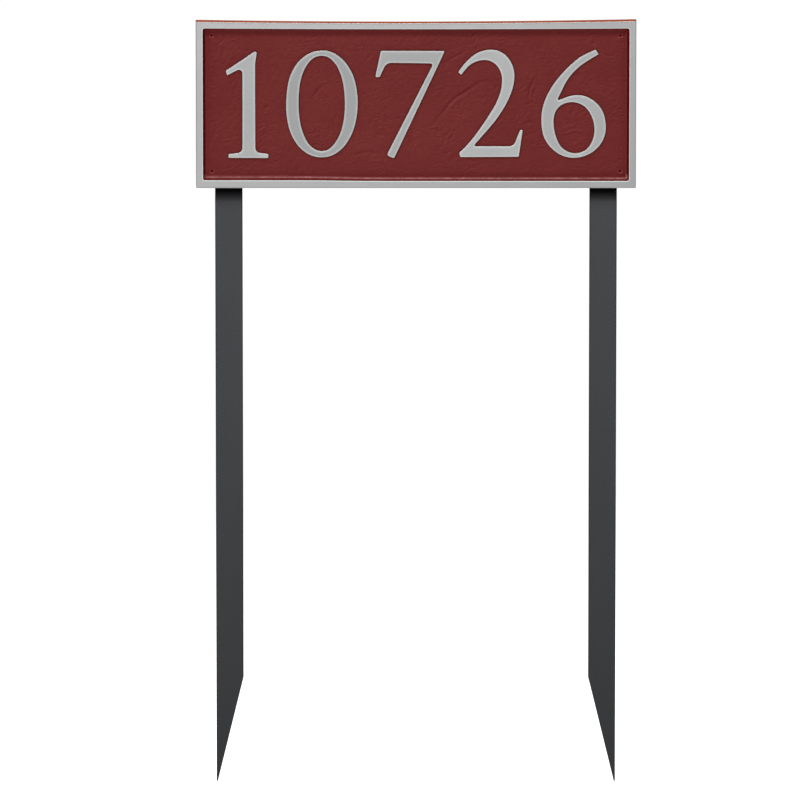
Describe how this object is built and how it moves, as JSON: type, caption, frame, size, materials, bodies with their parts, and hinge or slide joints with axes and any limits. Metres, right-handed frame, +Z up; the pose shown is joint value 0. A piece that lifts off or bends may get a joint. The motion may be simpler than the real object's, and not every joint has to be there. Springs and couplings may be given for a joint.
{
  "type": "lawn address sign",
  "caption": "Lawn address sign: a wide cast plaque with a raised border and raised numerals, screwed to flat pointed stakes that push into the soil.",
  "frame": {"origin": "on the soil line, midway between the stakes and in the middle of their thickness", "axes": "+X to the reader's right, +Y from the reader through the sign, +Z up along the stakes"},
  "size_m": [0.4064, 0.0228, 0.7195],
  "materials": {
    "plaque_paint": "satin",
    "stake_coat": "satin",
    "fastener_steel": "satin"
  },
  "bodies": {
    "root": {"plaque": "plaque_paint", "left_stake": "stake_coat", "right_stake": "stake_coat", "left_upper_screw": "fastener_steel", "left_upper_lock_washer": "fastener_steel", "left_lower_screw": "fastener_steel", "left_lower_lock_washer": "fastener_steel", "right_upper_screw": "fastener_steel", "right_upper_lock_washer": "fastener_steel", "right_lower_screw": "fastener_steel", "right_lower_lock_washer": "fastener_steel"}
  },
  "joints": []
}
